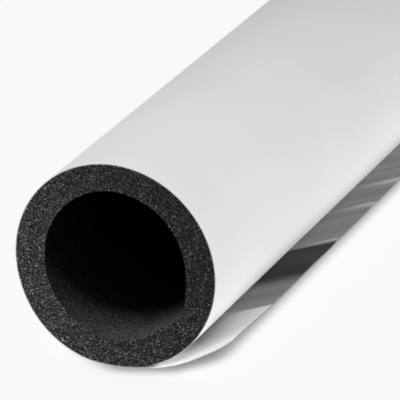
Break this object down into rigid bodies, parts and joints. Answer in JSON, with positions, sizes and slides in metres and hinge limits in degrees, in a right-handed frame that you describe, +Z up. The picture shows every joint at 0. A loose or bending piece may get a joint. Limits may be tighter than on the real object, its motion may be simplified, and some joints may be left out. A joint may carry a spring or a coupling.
{
  "type": "pipe insulation lagging",
  "caption": "Length of slit foam pipe insulation tube in a bonded light grey cladding sheet, with an open self-sealing lap along the slit.",
  "frame": {"origin": "middle of the underside of the whole piece as it lies, halfway along", "axes": "+Y along the tube from the near end to the far end, +Z up, the lap on the +X side"},
  "size_m": [0.1028, 1, 0.097],
  "materials": {
    "foam": "matt closed-cell foam",
    "cladding": "matt, very fine cross weave",
    "film": "glossy backing film with cross ridges"
  },
  "bodies": {
    "root": {"foam_tube": "foam", "cladding_jacket": "cladding", "release_film": "film"}
  },
  "joints": []
}
